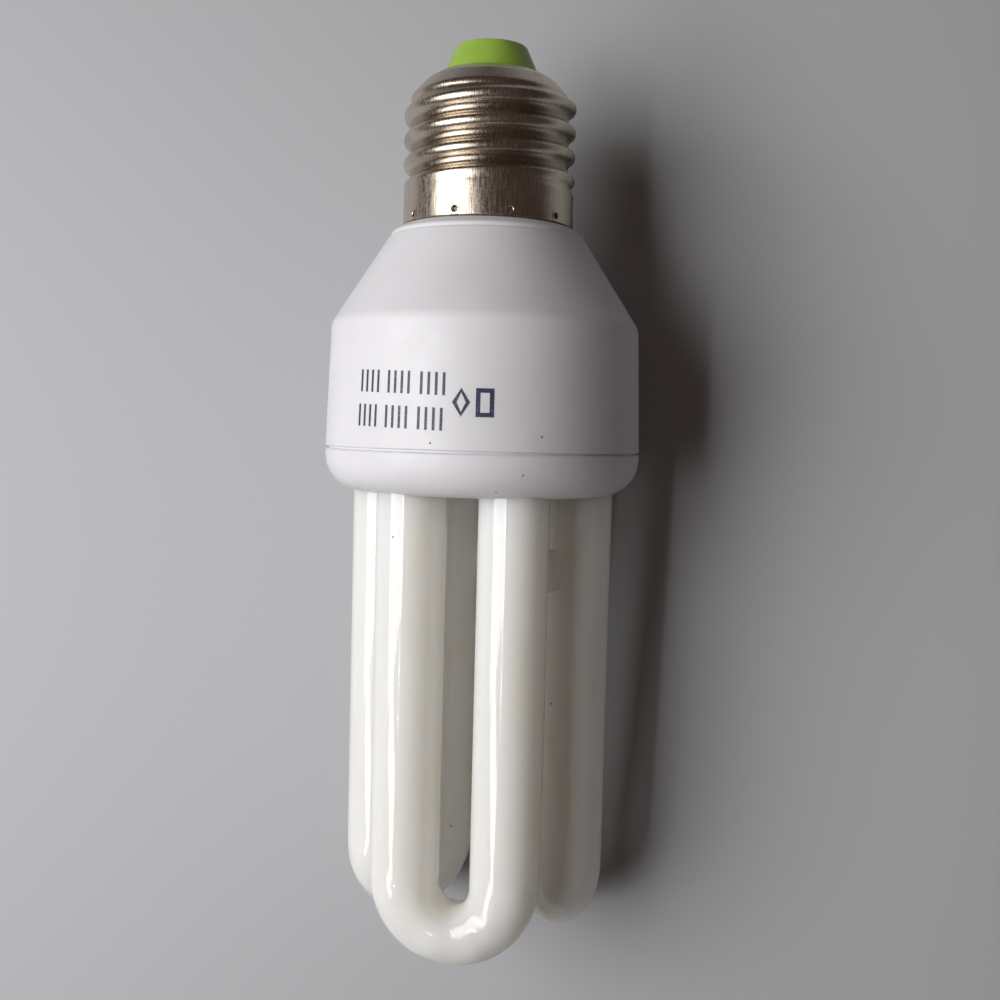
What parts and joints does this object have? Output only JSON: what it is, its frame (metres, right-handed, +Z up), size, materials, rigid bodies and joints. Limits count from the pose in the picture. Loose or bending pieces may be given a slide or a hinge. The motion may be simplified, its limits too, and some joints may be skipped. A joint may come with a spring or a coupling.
{
  "type": "compact fluorescent lamp",
  "caption": "Compact fluorescent lamp with U-shaped milky glass tubes, a white two-part ballast housing and a screw cap, lying on its side.",
  "frame": {"origin": "centre of the bounding box's bottom face, on the surface that the lamp lies on", "axes": "+Y points along the lamp towards its screw cap, which lies a little raised, +X to the side, +Z up"},
  "size_m": [0.0482, 0.138, 0.0492],
  "materials": {
    "nickel_plate": "nickel plated, rolled sheet",
    "solder": "tinned, satin",
    "green_insulator": "lime green, moulded, satin",
    "white_housing": "white, moulded, satin gloss",
    "milky_glass": "glass coated white inside, glossy",
    "cement": "set cement, matt",
    "board": "paper laminate, satin",
    "tinned_wire": "tinned, satin",
    "capacitor_sleeve": "black sleeve, gloss",
    "ferrite": "pressed ferrite, matt",
    "bobbin": "moulded, satin",
    "copper_wire": "enamelled copper, gloss",
    "black_case": "moulded epoxy, matt",
    "film_capacitor": "dipped, gloss",
    "resistor_body": "glazed ceramic, satin",
    "fuse_coat": "lacquered, satin",
    "lead_sheath": "sleeved wire, satin"
  },
  "bodies": {
    "root": {"centre_contact": "solder", "cap_insulator": "green_insulator", "screw_shell": "nickel_plate", "upper_housing": "white_housing", "lower_housing": "white_housing", "discharge_tube": "milky_glass", "tube_cement": "cement", "circuit_board": "board", "tube_leads": "tinned_wire", "wrap_pins": "tinned_wire", "smoothing_capacitor": "capacitor_sleeve", "choke_core": "ferrite", "choke_bobbin": "bobbin", "choke_winding": "copper_wire", "transformer_core": "ferrite", "transformer_windings": "copper_wire", "transistors": "black_case", "resonance_capacitor": "film_capacitor", "blocking_capacitor": "film_capacitor", "rectifier_bridge": "black_case", "chip_resistors": "resistor_body", "fusible_resistor": "fuse_coat", "live_lead": "lead_sheath", "neutral_lead": "lead_sheath"}
  },
  "joints": []
}
